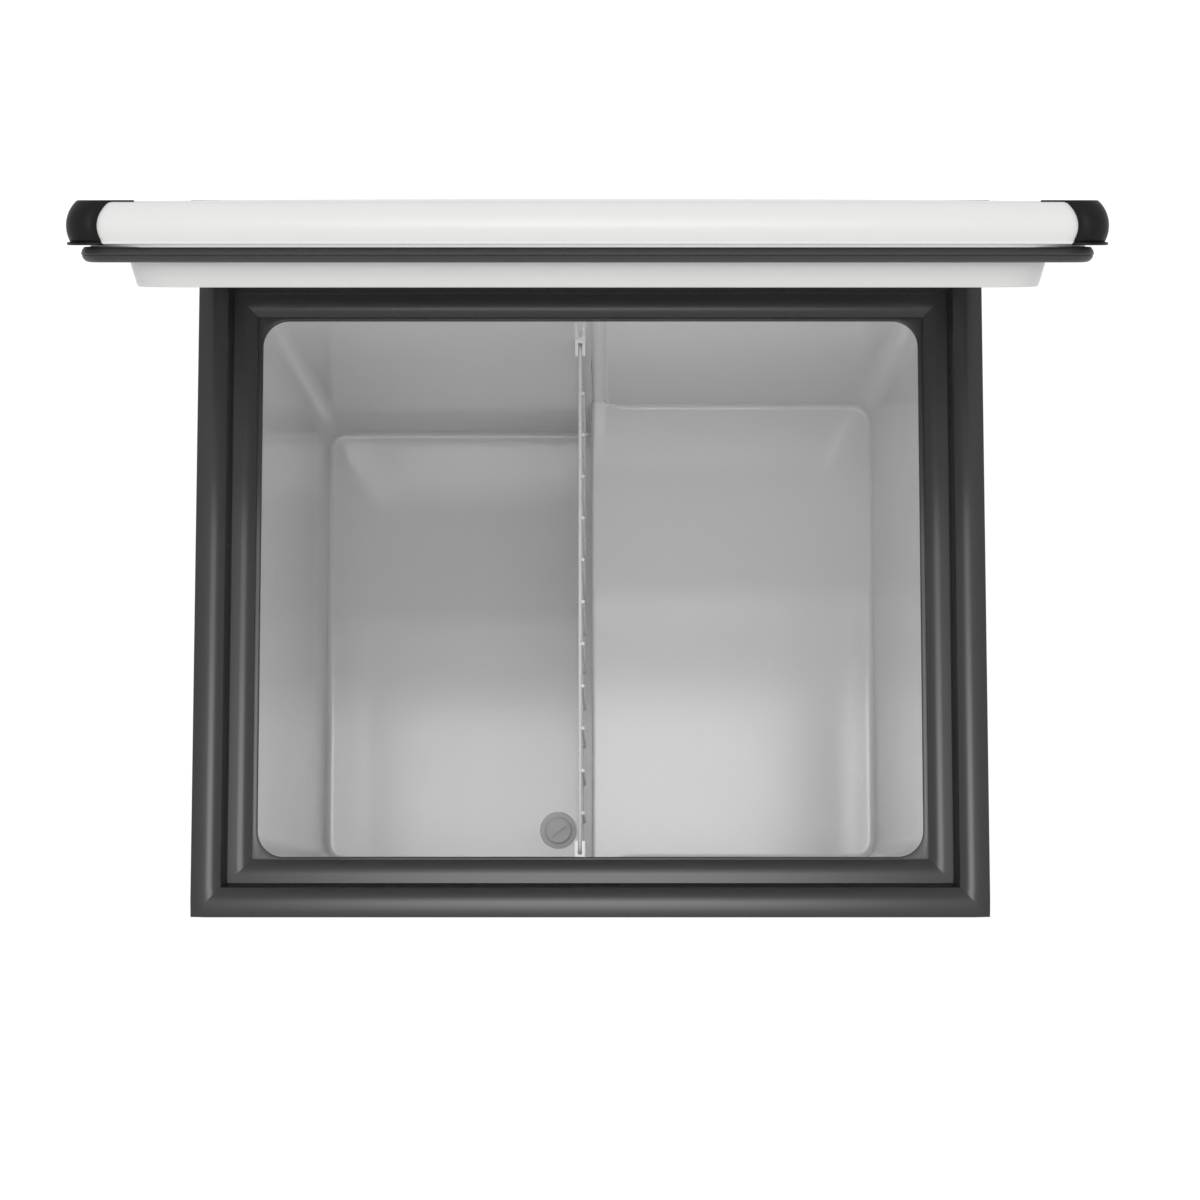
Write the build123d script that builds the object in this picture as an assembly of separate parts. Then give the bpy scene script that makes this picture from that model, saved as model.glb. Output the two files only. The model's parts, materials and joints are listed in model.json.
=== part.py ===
from build123d import *
import math
import os

# Chest-type compressor cooler, millimetres, +Z up, front face towards -Y.
# Drawn from the ground up and written with its origin at the middle of the tie-down
# holes, on the underside of the base tray, so the feet reach below it.

# --- overall sizes
frame_width = 600.0
frame_depth = 504.0
rim_height = 608.0          # ground to the top of the rim frame
gap = 0.3                   # running gap between parts that move past each other

# --- rim frame: two stepped bands round the opening
band_a = 22.3               # outer band, where the lid gasket lands
band_a_foot = 25.2          # where the step wall meets the second band
step_drop = 16.0
band_b = 43.5               # inner edge of the second band
lip_drop = 22.0             # opening edge below the rim
band_roll = 6.0
lip_roll = 4.0
skirt = 34.0
skirt_wall = 3.0
web_base = 25.5             # underside of the frame, below the rim
rib_inset = 19.0            # rib under the outer band
lip_reach = 75.0            # lip before the opening is cut out of it

# --- liner
opening_width = 506.0
opening_depth = 413.0
corner_radius = 20.0
liner_wall = 2.5
liner_flange = 14.0
deep_floor = 541.0          # left floor, below the rim
raised_floor = 387.0        # right floor, below the rim
step_x = 0.0                # face of the step in the floor
liner_draft = 0.23          # degrees
groove_width = 12.0
groove_depth = 3.0

# --- cabinet
sheet = 0.8                 # cabinet and bay sheet steel
cabinet_corner = 6.0
bay_insulation = 40.0
tray_thickness = 2.0
tray_wall = 1.5             # upstand of the tray
tray_flange = 20.0
foot_height = 18.0
foot_radius = 17.0
foot_inset = 45.0
tie_x = 270.0               # threaded holes for a slide or tie-down plate
tie_y = 120.0
tie_radius = 3.2
tie_room = 16.0             # free depth above each hole
guard_height = 70.0
guard_reach = 34.0
guard_wall = 2.0
evaporator_wall = 1.2

# --- lid (drawn closed, then turned open about the hinge axis)
lid_width = 610.0
lid_depth = 512.0
lid_rise = 11.6             # underside of the lid shell above the rim
lid_thickness = 25.0
lid_sheet = 2.0
lid_edge = 4.0
lid_corner = 14.0
cap_wall = 1.5
cap_reach = 20.0            # along the lid edge
cap_web = 33.0              # along the lid top
cap_rise = 0.8              # cap above the lid skin
strip_thickness = 2.3
gasket_thickness = 9.0
gasket_inset = 10.0
plug_inset = 29.0
plug_drop = 14.8            # plug end below the rim when closed
plug_draft = 6.0            # degrees
plug_wall = 2.5
open_angle = 76.0

# --- hinges
hinge_x = 240.0
hinge_width = 36.5
hinge_set_back = 14.8       # axis behind the rear of the frame
hinge_rise = 10.6           # axis above the rim
hinge_plate = 2.5
hinge_barrel_radius = 6.0
hinge_pin_radius = 3.0
pin_clearance = 0.08
hinge_drop = 80.0
knuckle = 9.0

# --- wire divider
divider_x = -8.5
divider_top = 97.0          # below the rim
divider_bottom = 384.0      # below the rim
divider_half = 202.0
wire_radius = 1.4
wire_pitch = 33.4
wire_count = 11
wire_shift = -4.2
wire_weld = 0.5
divider_corner = 5.0

# --- drain
drain_x = -32.0
drain_y = -175.0
drain_radius = 17.2
drain_knob_radius = 12.2
drain_stem_radius = 9.0
drain_seal_height = 1.2
drain_grip_length = 15.5
drain_grip_angle = 37.5
drain_tube_wall = 2.0

# --- compressor bay
compressor_x = 150.0
compressor_y = 120.0
compressor_radius = 64.0
compressor_height = 118.0
compressor_lift = 16.0
compressor_wall = 3.0
compressor_round = 22.0     # radius of the pot's top and bottom edges
pump_radius = 34.0          # pump and windings inside the pot
pump_height = 75.0
discharge_z = 100.0
suction_z = 90.0
port_reach = 7.0
fan_x = 170.0
fan_z = 98.0
fan_size = 125.0
fan_depth = 25.0
fan_y = -44.0
fan_blades = 7
condenser_width = 214.0
condenser_height = 140.0
condenser_depth = 30.0
fin_count = 26

# --- vents and inlet plate
vent_low = 38.0
vent_high = 164.0
side_vent_front = -209.0
side_vent_back = -69.0
rear_vent_left = 54.0
rear_vent_right = 258.0
vent_overlap = 6.0          # grille flange over the sheet's edge
vent_screw_inset = 4.5
vent_flange = 2.4           # flange thickness, where the screw heads sit
inlet_front = 66.0
inlet_back = 206.0
inlet_low = 44.0
inlet_high = 96.0
inlet_overlap = 5.0

# --- controls on the front
panel_x = 170.0
panel_z = 126.0
panel_width = 150.0
panel_height = 50.0
panel_proud = 3.0
button_radius = 6.0
key_stop = 1.2              # collar that keeps a key in its hole
button_pitch = 20.0
key_margin = 14.0           # from the window to the first key's centre
panel_edge = 14.0           # from the bezel's end to the window
panel_tongue = 4.0          # depth of the bezel behind the sheet
window_width = 58.0
window_height = 26.0

# --- inlets on the right side
inlet_height = 70.0
mains_y = 178.0
battery_y = 138.0
fuse_y = 92.0
socket_half_width = 13.0
socket_half_height = 8.0
fuse_radius = 8.0
inlet_proud = 2.4

# --- side handles
handle_drop = 165.0         # pivot below the rim
handle_span = 130.0
handle_length = 52.0
grip_radius = 5.5
handle_plate = 2.0

# --- derived values
half_w = frame_width / 2
half_d = frame_depth / 2
rim = rim_height
inner_corner = cabinet_corner - sheet
body_w = frame_width - 2 * skirt_wall
body_d = frame_depth - 2 * skirt_wall
body_front = -body_d / 2
body_right = body_w / 2
base_z = foot_height
tray_top = base_z + tray_thickness
deep_z = rim - deep_floor
raised_z = rim - raised_floor
bay_top = raised_z - liner_wall - bay_insulation
bay_left = step_x + liner_wall + bay_insulation
liner_top = rim - web_base
hinge_y = half_d + hinge_set_back
hinge_z = rim + hinge_rise
lid_z = rim + lid_rise
plug_end_z = rim - plug_drop
divider_z = rim - divider_top
fan_front = fan_y
condenser_y = fan_y - 1.0 - condenser_depth


def span(x0, x1, y0, y1, z0, z1):
    """Box between two corners."""
    centre = ((x0 + x1) / 2, (y0 + y1) / 2, (z0 + z1) / 2)
    return Pos(*centre) * Box(abs(x1 - x0), abs(y1 - y0), abs(z1 - z0))


def rod(start, end, radius):
    """Round bar between two points."""
    a, b = Vector(*start), Vector(*end)
    plane = Plane(origin=a, z_dir=(b - a).normalized())
    return extrude(plane * Circle(radius), amount=(b - a).length)


def rounded_block(width, depth, radius, z_top, height, taper=0.0, x=0.0, y=0.0):
    """Upright block with round corners, narrowing downwards by the taper."""
    face = Pos(x, y, z_top) * RectangleRounded(width, depth, radius)
    return extrude(face, amount=height, dir=(0, 0, -1), taper=taper)


def write(name, shape):
    """One STEP file per sub-part, with the origin on the underside of the tray."""
    os.makedirs("parts", exist_ok=True)
    lowered = Pos(0, 0, -foot_height)
    if isinstance(shape, list):
        shape = Compound(children=[lowered * solid for item in shape for solid in item.solids()])
    else:
        shape = lowered * shape
    export_step(shape, "parts/" + name + ".step")
    print(f"{name}: {shape.volume / 1000:.1f} cm3")


def screw(x, y, z, axis, head=4.0, head_height=1.6, shank=1.8, length=8.0):
    """Pan-head screw whose head stands out along the axis from the given point."""
    way = Vector(*axis)
    seat = Vector(x, y, z)
    body = rod(tuple(seat - way * length), tuple(seat), shank)
    cap = rod(tuple(seat), tuple(seat + way * head_height), head)
    return body + cap


# ---------------------------------------------------------------- cabinet

def frame_profile():
    """Section of the rim frame: X runs inwards from the outer face, Y is up from the rim."""
    outline = Polyline((skirt_wall, -skirt), (0, -skirt), (0, 0), (band_a - band_roll, 0))
    outline += CenterArc((band_a - band_roll, -band_roll), band_roll, 90, -90)
    outline += Polyline((band_a, -band_roll), (band_a_foot, -step_drop), (band_b - lip_roll, -step_drop))
    outline += CenterArc((band_b - lip_roll, -step_drop - lip_roll), lip_roll, 90, -90)
    outline += Polyline((band_b, -step_drop - lip_roll), (band_b, -lip_drop), (lip_reach, -lip_drop),
                        (lip_reach, -web_base), (rib_inset, -web_base), (rib_inset, -skirt_wall),
                        (skirt_wall, -skirt_wall), (skirt_wall, -skirt))
    return make_face(outline)


def frame_side(length, distance):
    """One side of the frame along X, with mitred ends, facing -Y at that distance from the middle."""
    plane = Plane(origin=(-length / 2, -distance, rim), x_dir=(0, 1, 0), z_dir=(1, 0, 0))
    bar = extrude(plane * frame_profile(), amount=length)
    end, deep = length / 2, lip_reach + 5
    mitre = make_face(Polyline((-end, -distance), (end, -distance), (end - deep, deep - distance),
                               (deep - end, deep - distance), (-end, -distance)))
    return bar & extrude(Pos(0, 0, rim - skirt - 1) * mitre, amount=skirt + 2)


def top_frame():
    frame = None
    for turn, length, distance in ((0, frame_width, half_d), (90, frame_depth, half_w),
                                   (180, frame_width, half_d), (270, frame_depth, half_w)):
        side = Rot(0, 0, turn) * frame_side(length, distance)
        frame = side if frame is None else frame + side
    return frame - rounded_block(opening_width, opening_depth, corner_radius, rim, skirt)


def cavity_block(extra):
    """Inside of the liner, or its outer skin when extra is the wall thickness."""
    depth = liner_top - deep_z + extra
    block = rounded_block(opening_width + 2 * extra, opening_depth + 2 * extra,
                          corner_radius + extra, liner_top, depth, liner_draft)
    block -= span(step_x + extra, half_w, -half_d, half_d, deep_z - 20, raised_z - extra)
    return block


def divider_groove(extra):
    """Upright guide channels for the divider in the rear and front walls."""
    inner = opening_depth / 2 - 4
    outer = opening_depth / 2 + groove_depth + extra - 2
    x0, x1 = step_x - extra, step_x + groove_width + extra
    top = liner_top - 1 if extra == 0 else liner_top
    rear = span(x0, x1, inner, outer, raised_z - extra, top)
    front = span(x0, x1, -outer, -inner, raised_z - extra, top)
    return rear + front


def inner_liner():
    skin = cavity_block(liner_wall) + divider_groove(liner_wall)
    skin += rounded_block(opening_width + 2 * liner_flange, opening_depth + 2 * liner_flange,
                          corner_radius + liner_flange, liner_top, liner_wall)
    liner = skin - cavity_block(0) - divider_groove(0)
    liner -= Pos(drain_x, drain_y, deep_z) * Cylinder(drain_stem_radius + drain_tube_wall, 20)
    return liner


def outer_wrapper():
    wrap = rounded_block(body_w, body_d, cabinet_corner, rim - skirt_wall, rim - skirt_wall - base_z)
    wrap -= rounded_block(body_w - 2 * sheet, body_d - 2 * sheet, inner_corner, rim, rim)
    px, pz = panel_width / 2 - 5, panel_height / 2 - 5
    wrap -= span(panel_x - px, panel_x + px, body_front - 5, body_front + 5, panel_z - pz, panel_z + pz)
    wrap -= span(body_right - 5, body_right + 5, *side_vent_y(vent_overlap), *side_vent_z(vent_overlap))
    rear_x, rear_z = rear_vent_x(vent_overlap), side_vent_z(vent_overlap)
    wrap -= span(*rear_x, -body_front - 5, -body_front + 5, *rear_z)
    wrap -= span(body_right - 5, body_right + 5, *inlet_y(inlet_overlap), *inlet_z(inlet_overlap))
    return wrap


def side_vent_y(inset=0):
    return side_vent_front + inset, side_vent_back - inset


def side_vent_z(inset=0):
    return vent_low + inset, vent_high - inset


def rear_vent_x(inset=0):
    return rear_vent_left + inset, rear_vent_right - inset


def inlet_y(inset=0):
    return inlet_front + inset, inlet_back - inset


def inlet_z(inset=0):
    return inlet_low + inset, inlet_high - inset


def bottom_tray():
    half_x, half_y = body_right - sheet, -body_front - sheet
    tray = rounded_block(2 * half_x, 2 * half_y, inner_corner, base_z + tray_flange, tray_flange)
    tray -= rounded_block(2 * (half_x - tray_wall), 2 * (half_y - tray_wall), inner_corner - tray_wall,
                          base_z + 60, 60 - tray_thickness)
    for i in range(6):
        x = 80 + i * 12
        tray -= span(x, x + 5, -210, -110, base_z - 5, base_z + 5)
    for x, y in foot_places():
        tray -= Pos(x, y, base_z) * Cylinder(2.6, 20)
    tray -= Pos(drain_x, drain_y, base_z) * Cylinder(drain_stem_radius + drain_tube_wall + 0.5, 20)
    for x, y in compressor_mounts():
        tray -= Pos(x, y, base_z) * Cylinder(2.6, 20)
    return tray - tie_holes(tie_radius)


def tie_holes(radius):
    """Four upright bores through the tray, and room for the screw ends above it."""
    low, high = base_z - 1, tray_top + tie_room
    places = [(sx * tie_x, sy * tie_y) for sx in (-1, 1) for sy in (-1, 1)]
    return [rod((x, y, low), (x, y, high), radius) for x, y in places]


def foot_places():
    x, y = body_right - foot_inset, -body_front - foot_inset
    return [(-x, -y), (x, -y), (-x, y), (x, y)]


def foot(x, y):
    pad = Pos(x, y, 0) * Cylinder(foot_radius, foot_height, align=(Align.CENTER, Align.CENTER, Align.MIN))
    pad = chamfer(pad.edges().sort_by(Axis.Z)[0], 3)
    pad -= rod((x, y, 0), (x, y, 8), 6)
    return pad - rod((x, y, 0), (x, y, foot_height + 1), 2.6)


def foot_screws():
    return [screw(x, y, 8, (0, 0, -1), 5, 3, 2.5, 16) for x, y in foot_places()]


def corner_guard(sx, sy):
    """Plastic guard round one lower corner of the cabinet."""
    top = base_z + guard_height
    outer = rounded_block(body_w + 2 * guard_wall, body_d + 2 * guard_wall,
                          cabinet_corner + guard_wall, top, guard_height)
    ring = outer - rounded_block(body_w, body_d, cabinet_corner, top, guard_height)
    x0 = body_right - guard_reach
    y0 = -body_front - guard_reach
    keep = span(sx * x0, sx * (body_right + 10), sy * y0, sy * (10 - body_front), 0, rim)
    return ring & keep


def insulation():
    top = rim - web_base
    half_x, half_y = body_right - sheet, -body_front - sheet
    foam = rounded_block(2 * half_x, 2 * half_y, inner_corner, top, top - tray_top)
    foam -= rounded_block(2 * half_x, 2 * half_y, inner_corner, base_z + tray_flange, tray_flange) \
        - rounded_block(2 * (half_x - tray_wall), 2 * (half_y - tray_wall), inner_corner - tray_wall,
                        base_z + tray_flange, tray_flange)
    foam -= cavity_block(liner_wall + evaporator_wall) + divider_groove(liner_wall)
    foam -= rounded_block(opening_width + 2 * liner_flange, opening_depth + 2 * liner_flange,
                          corner_radius + liner_flange, liner_top, liner_wall)
    foam -= span(bay_left, half_w, -half_d, half_d, 0, bay_top)
    foam -= Pos(drain_x, drain_y, 40) * Cylinder(drain_stem_radius + drain_tube_wall, 100)
    for sx in (-1, 1):
        for y in (-handle_span / 2, handle_span / 2):
            foam -= rod((sx * (body_right - 30), y, handle_z()), (sx * half_w, y, handle_z()), 2.2)
    return foam - suction_pipe(2.7) - tie_holes(tie_radius + 1)


def evaporator():
    """Thin roll-bond sleeve round the upper part of the liner."""
    low, high = raised_z + 20, liner_top - 60
    shell = cavity_block(liner_wall + evaporator_wall) - cavity_block(liner_wall)
    shell &= span(-half_w, half_w, -half_d, half_d, low, high)
    return shell - divider_groove(liner_wall)


def bay_wall():
    """Folded sheet that closes the compressor bay towards the insulation."""
    inner = bay_left + sheet
    y = -body_front - sheet
    top = rounded_block(2 * (body_right - sheet), 2 * y, inner_corner, bay_top, sheet) & \
        span(bay_left, body_right, -half_d, half_d, 0, rim)
    side = span(bay_left, inner, -y + 1.5, y - 1.5, tray_top, bay_top)
    wall = top + side
    return wall - suction_pipe(2.7)


def slat_grille(width, height, slats, thick=vent_flange, border=9.0):
    """Louvred cover in its own X-Z plane, front towards -Y, centred on the origin."""
    plate = Box(width, thick, height)
    plate = fillet(plate.edges().filter_by(Axis.Y), 6)
    inner_h = height - 2 * border
    pitch = inner_h / slats
    for i in range(slats):
        z = -inner_h / 2 + (i + 0.5) * pitch
        plate -= Pos(0, 0, z) * Box(width - 2 * border, thick + 1, pitch * 0.5)
    return plate


def side_vent():
    y0, y1 = side_vent_y()
    z0, z1 = side_vent_z()
    grille = slat_grille(y1 - y0, z1 - z0, 9)
    return Pos(body_right + vent_flange / 2, (y0 + y1) / 2, (z0 + z1) / 2) * Rot(0, 0, 90) * grille


def rear_vent():
    x0, x1 = rear_vent_x()
    z0, z1 = side_vent_z()
    grille = slat_grille(x1 - x0, z1 - z0, 9)
    return Pos((x0 + x1) / 2, vent_flange / 2 - body_front, (z0 + z1) / 2) * grille


def vent_screws():
    """Self-tapping screws with their heads on the grilles' faces."""
    proud, sizes = vent_flange, (3, 1.2, 1.4)
    heads = []
    for z in side_vent_z(vent_screw_inset):
        for y in side_vent_y(vent_screw_inset):
            heads.append(screw(body_right + proud, y, z, (1, 0, 0), *sizes))
        for x in rear_vent_x(vent_screw_inset):
            heads.append(screw(x, proud - body_front, z, (0, 1, 0), *sizes))
    return heads


# ---------------------------------------------------------------- controls

def button_places():
    """Centres of the three round keys on the right part of the panel."""
    first = panel_x - panel_width / 2 + panel_edge + window_width + key_margin
    return [(first + i * button_pitch, panel_z) for i in range(3)]


def control_bezel():
    back = body_front + panel_tongue
    front = body_front - panel_proud
    plate = Pos(panel_x, (front + body_front) / 2, panel_z) * Box(panel_width, panel_proud, panel_height)
    plate = fillet(plate.edges().filter_by(Axis.Y), 7)
    plate = fillet(plate.faces().sort_by(Axis.Y)[0].edges(), 1)
    px, pz = panel_width / 2 - 5 - gap, panel_height / 2 - 5 - gap
    plate += span(panel_x - px, panel_x + px, body_front, back, panel_z - pz, panel_z + pz)
    plate -= window_block(0.1, front - 1, body_front + 1)
    plate -= window_block(-3, body_front, back + 1)
    for x, z in button_places():
        plate -= rod((x, front - 1, z), (x, back + 1, z), button_radius + gap)
    return plate


def window_block(grow, y0, y1):
    x = panel_x - panel_width / 2 + panel_edge + window_width / 2
    w, h = window_width / 2 + grow, window_height / 2 + grow
    return span(x - w, x + w, y0, y1, panel_z - h, panel_z + h)


def display_window():
    return window_block(0, body_front - panel_proud + 0.6, body_front + 1)


def control_button(i):
    x, z = button_places()[i]
    front = body_front - panel_proud
    back = body_front + panel_tongue + gap
    cap = rod((x, front - 1, z), (x, back, z), button_radius)
    cap = fillet(cap.edges().sort_by(Axis.Y)[0], 0.8)
    return cap + rod((x, back, z), (x, back + key_stop, z), button_radius + 1.5)


def panel_board():
    back = body_front + 8
    px, pz = panel_width / 2 - 8, panel_height / 2 - 8
    board = span(panel_x - px, panel_x + px, back, back + 1.6, panel_z - pz, panel_z + pz)
    for dx in (-px + 3, px - 3):
        for dz in (-pz + 3, pz - 3):
            post = (panel_x + dx, body_front + panel_tongue, panel_z + dz)
            board += rod(post, (post[0], back, post[2]), 2)
    board += window_block(-4, body_front + 3, back) - window_block(-20, body_front + 3, back)
    return board


def inlet_plate():
    y0, y1 = inlet_y()
    z0, z1 = inlet_z()
    plate = Box(inlet_proud, y1 - y0, z1 - z0)
    plate = fillet(plate.edges().filter_by(Axis.X), 6)
    plate = Pos(body_right + inlet_proud / 2, (y0 + y1) / 2, (z0 + z1) / 2) * plate
    for y in (mains_y, battery_y):
        plate -= socket_block(y, body_right - 1, half_w + 5, 0)
    inside, outside = (body_right - 1, fuse_y, inlet_height), (half_w + 5, fuse_y, inlet_height)
    return plate - rod(inside, outside, fuse_radius)


def socket_block(y, x0, x1, wall):
    """Block as large as a socket, less a wall all round, from x0 to x1."""
    w, h = socket_half_width - wall, socket_half_height - wall
    return span(x0, x1, y - w, y + w, inlet_height - h, inlet_height + h)


def socket_shell(y):
    face = body_right + inlet_proud
    deep = body_right - 22
    body = socket_block(y, deep, face + 0.6, 0) - socket_block(y, deep + 4, face + 5, 2)
    for s in (-1, 1):
        pin_y = y + s * 4.5
        body += rod((deep + 3, pin_y, inlet_height), (face - 8, pin_y, inlet_height), 1.2)
    return body


def fuse_cap():
    face = body_right + inlet_proud
    cap = rod((body_right - 20, fuse_y, inlet_height), (face, fuse_y, inlet_height), fuse_radius)
    cap += rod((face, fuse_y, inlet_height), (face + 3, fuse_y, inlet_height), fuse_radius + 1.5)
    slot = fuse_radius - 1
    low, high = inlet_height - 1, inlet_height + 1
    return cap - span(face + 1.5, face + 5, fuse_y - slot, fuse_y + slot, low, high)


# ---------------------------------------------------------------- compressor bay

def compressor_mounts():
    return [(compressor_x + sx * 82, compressor_y + sy * 50) for sx in (-1, 1) for sy in (-1, 1)]


def compressor_shell():
    """Sealed pot with its weld flange and two pipe ports, and the pump standing inside."""
    low = tray_top + compressor_lift
    half = compressor_height / 2
    pot = compressor_pot(0)
    for side, z in ((1, discharge_z), (-1, suction_z)):
        port = (compressor_x + side * (compressor_radius + port_reach), compressor_y, z)
        pot += rod((compressor_x, compressor_y, z), port, 4)
    pot += Pos(compressor_x, compressor_y, low + half - 6) * Cylinder(compressor_radius + 2, 4)
    pump_foot = (compressor_x, compressor_y, low + compressor_wall / 2)
    pump_top = (compressor_x, compressor_y, low + pump_height)
    return pot - compressor_pot(compressor_wall) + rod(pump_foot, pump_top, pump_radius)


def compressor_pot(wall):
    middle = tray_top + compressor_lift + compressor_height / 2
    pot = Cylinder(compressor_radius - wall, compressor_height - 2 * wall)
    pot = fillet(pot.edges().filter_by(GeomType.CIRCLE), compressor_round - wall)
    return Pos(compressor_x, compressor_y, middle) * pot


def compressor_base():
    z = tray_top + compressor_lift - 3
    plate = rounded_block(184, 120, 10, z + 3, 3, 0, compressor_x, compressor_y)
    for x, y in compressor_mounts():
        plate -= Pos(x, y, z) * Cylinder(7, 20)
    return plate


def compressor_grommets():
    low, high = tray_top, tray_top + compressor_lift + 3
    mounts = []
    for x, y in compressor_mounts():
        sleeve = rod((x, y, low), (x, y, high), 7)
        sleeve += rod((x, y, low), (x, y, tray_top + compressor_lift - 3), 10)
        mounts.append(sleeve - rod((x, y, low - 1), (x, y, high + 1), 2.6))
    return mounts


def compressor_bolts():
    top = tray_top + compressor_lift + 3
    return [screw(x, y, top, (0, 0, 1), 5.5, 3, 2.5, compressor_lift + 5) for x, y in compressor_mounts()]


def control_module():
    x0, x1 = compressor_x + 88, compressor_x + 136
    z0 = tray_top
    box = span(x0 - 8, x1 - 4, -4, 60, z0, z0 + 78)
    box = fillet(box.edges().filter_by(Axis.Z), 4)
    for i in range(6):
        box -= span(x0 - 2 + i * 6, x0 + 1 + i * 6, -5, 61, z0 + 70, z0 + 79)
    return box


def condenser():
    x0, x1 = fan_x - condenser_width / 2, fan_x + condenser_width / 2
    y0, y1 = condenser_y, condenser_y + condenser_depth
    z0, z1 = tray_top, tray_top + condenser_height
    block = span(x0, x0 + 3, y0, y1, z0, z1) + span(x1 - 3, x1, y0, y1, z0, z1)
    pitch = (x1 - x0 - 6) / fin_count
    for i in range(1, fin_count):
        x = x0 + 3 + i * pitch
        block += span(x - 0.4, x + 0.4, y0, y1, z0 + 6, z1 - 6)
    rows = 5
    for i in range(rows):
        z = z0 + 16 + i * (z1 - z0 - 32) / (rows - 1)
        block += rod((x0 - 6, (y0 + y1) / 2, z), (x1 + 6, (y0 + y1) / 2, z), 4)
    return block


def fan_shroud():
    y0, y1 = fan_front, fan_front + fan_depth
    half = fan_size / 2
    frame = span(fan_x - half, fan_x + half, y0, y1, fan_z - half, fan_z + half)
    frame -= rod((fan_x, y0 - 1, fan_z), (fan_x, y1 + 1, fan_z), half - 4)
    for i in range(4):
        arm = span(0, half - 2, -2.5, 2.5, 0, 3)
        place = Plane(origin=(fan_x, y1, fan_z), x_dir=(1, 0, 0), z_dir=(0, -1, 0))
        frame += place * Rot(0, 0, 45 + 90 * i) * arm
    hub = rod((fan_x, y1 - 11, fan_z), (fan_x, y1, fan_z), 17)
    frame += hub
    frame += rod((fan_x, y0 + 3, fan_z), (fan_x, y1 - 10, fan_z), 2.0)
    foot_low = tray_top
    frame += span(fan_x - half, fan_x - half + 12, y0, y1, foot_low, fan_z - half + 1)
    frame += span(fan_x + half - 12, fan_x + half, y0, y1, foot_low, fan_z - half + 1)
    return frame


def fan_rotor():
    y0, y1 = fan_front + 2, fan_front + fan_depth - 12
    hub = rod((fan_x, y0, fan_z), (fan_x, y1, fan_z), 19)
    hub = fillet(hub.edges().sort_by(Axis.Y)[0], 3)
    for i in range(fan_blades):
        blade = Pos(35, 0, 0) * Rot(35, 0, 0) * Box(36, 15, 1.6)
        place = Plane(origin=(fan_x, (y0 + y1) / 2, fan_z), x_dir=(1, 0, 0), z_dir=(0, 1, 0))
        hub += place * Rot(0, 0, 360 / fan_blades * i) * blade
    return hub - rod((fan_x, y0 - 1, fan_z), (fan_x, y1 + 1, fan_z), 2.0 + pin_clearance)


def filter_drier():
    x, y = bay_left + 22, 20
    can = rod((x, y, 52), (x, y, 128), 10)
    can += rod((x, y, 40), (x, y, 52), 3) + rod((x, y, 128), (x, y, 140), 3)
    return can


def liquid_pipe():
    """Condenser outlet to the drier."""
    x0 = fan_x - condenser_width / 2 - 6
    y0 = condenser_y + condenser_depth / 2
    z0 = tray_top + condenser_height - 16
    xd, yd = bay_left + 22, 20
    points = [(x0, y0, z0), (x0 - 9, y0, z0), (x0 - 9, yd, z0), (xd, yd, z0 + 4), (xd, yd, 140)]
    return pipe_runs(points, 3)


def pipe_runs(points, radius):
    """Tube made of straight runs with ball corners."""
    tube = None
    for a, b in zip(points, points[1:]):
        piece = rod(a, b, radius)
        tube = piece if tube is None else tube + piece
    for p in points[1:-1]:
        tube += Pos(*p) * Sphere(radius)
    return tube


def discharge_pipe():
    """Compressor outlet to the condenser inlet."""
    x1 = fan_x + condenser_width / 2 + 6
    y1 = condenser_y + condenser_depth / 2
    z1 = tray_top + condenser_height - 16
    far = x1 + 6
    start = (compressor_x + compressor_radius + port_reach, compressor_y, discharge_z)
    rise = [(far, compressor_y, discharge_z), (far, compressor_y, z1)]
    return pipe_runs([start] + rise + [(far, y1, z1), (x1, y1, z1)], 3)


def suction_pipe(radius=2.5):
    """From the compressor up through the insulation to the evaporator sleeve."""
    x, y = bay_left + 20, compressor_y
    wall_y = opening_depth / 2 + liner_wall + evaporator_wall + 2.6
    turn = raised_z - liner_wall - 18
    start = (compressor_x - compressor_radius - port_reach, y, suction_z)
    points = [start, (x, y, suction_z), (x, y, turn), (x, wall_y, turn), (x, wall_y, raised_z + 60)]
    return pipe_runs(points, radius)


# ---------------------------------------------------------------- drain

def drain_seat():
    outer = drain_stem_radius + drain_tube_wall
    ring = rod((drain_x, drain_y, deep_z), (drain_x, drain_y, deep_z + 1.5), drain_radius)
    ring = fillet(ring.edges().sort_by(Axis.Z)[-1], 0.6)
    tube = rod((drain_x, drain_y, base_z - 6), (drain_x, drain_y, deep_z + 1.5), outer)
    return ring + tube - rod((drain_x, drain_y, 0), (drain_x, drain_y, rim), drain_stem_radius)


def drain_plug():
    """Round plug with a dished top and a finger bar across it."""
    low = deep_z + 1.5 + gap + drain_seal_height
    stem = rod((drain_x, drain_y, low - 20), (drain_x, drain_y, low + 1), drain_stem_radius - gap)
    knob = rod((drain_x, drain_y, low), (drain_x, drain_y, low + 4), drain_knob_radius)
    knob = fillet(knob.edges().sort_by(Axis.Z)[-1], 0.8)
    dish = rod((drain_x, drain_y, low + 2.4), (drain_x, drain_y, low + 5), drain_knob_radius - 1.8)
    grip = Pos(drain_x, drain_y, low + 4) * Rot(0, 0, drain_grip_angle) * Box(drain_grip_length, 2.6, 5)
    return stem + (knob - dish) + grip


def drain_seal():
    low = deep_z + 1.5 + gap
    high = low + drain_seal_height
    ring = rod((drain_x, drain_y, low), (drain_x, drain_y, high), drain_knob_radius - 0.8)
    return ring - rod((drain_x, drain_y, low - 1), (drain_x, drain_y, low + 2), drain_stem_radius - gap)


# ---------------------------------------------------------------- divider

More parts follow.
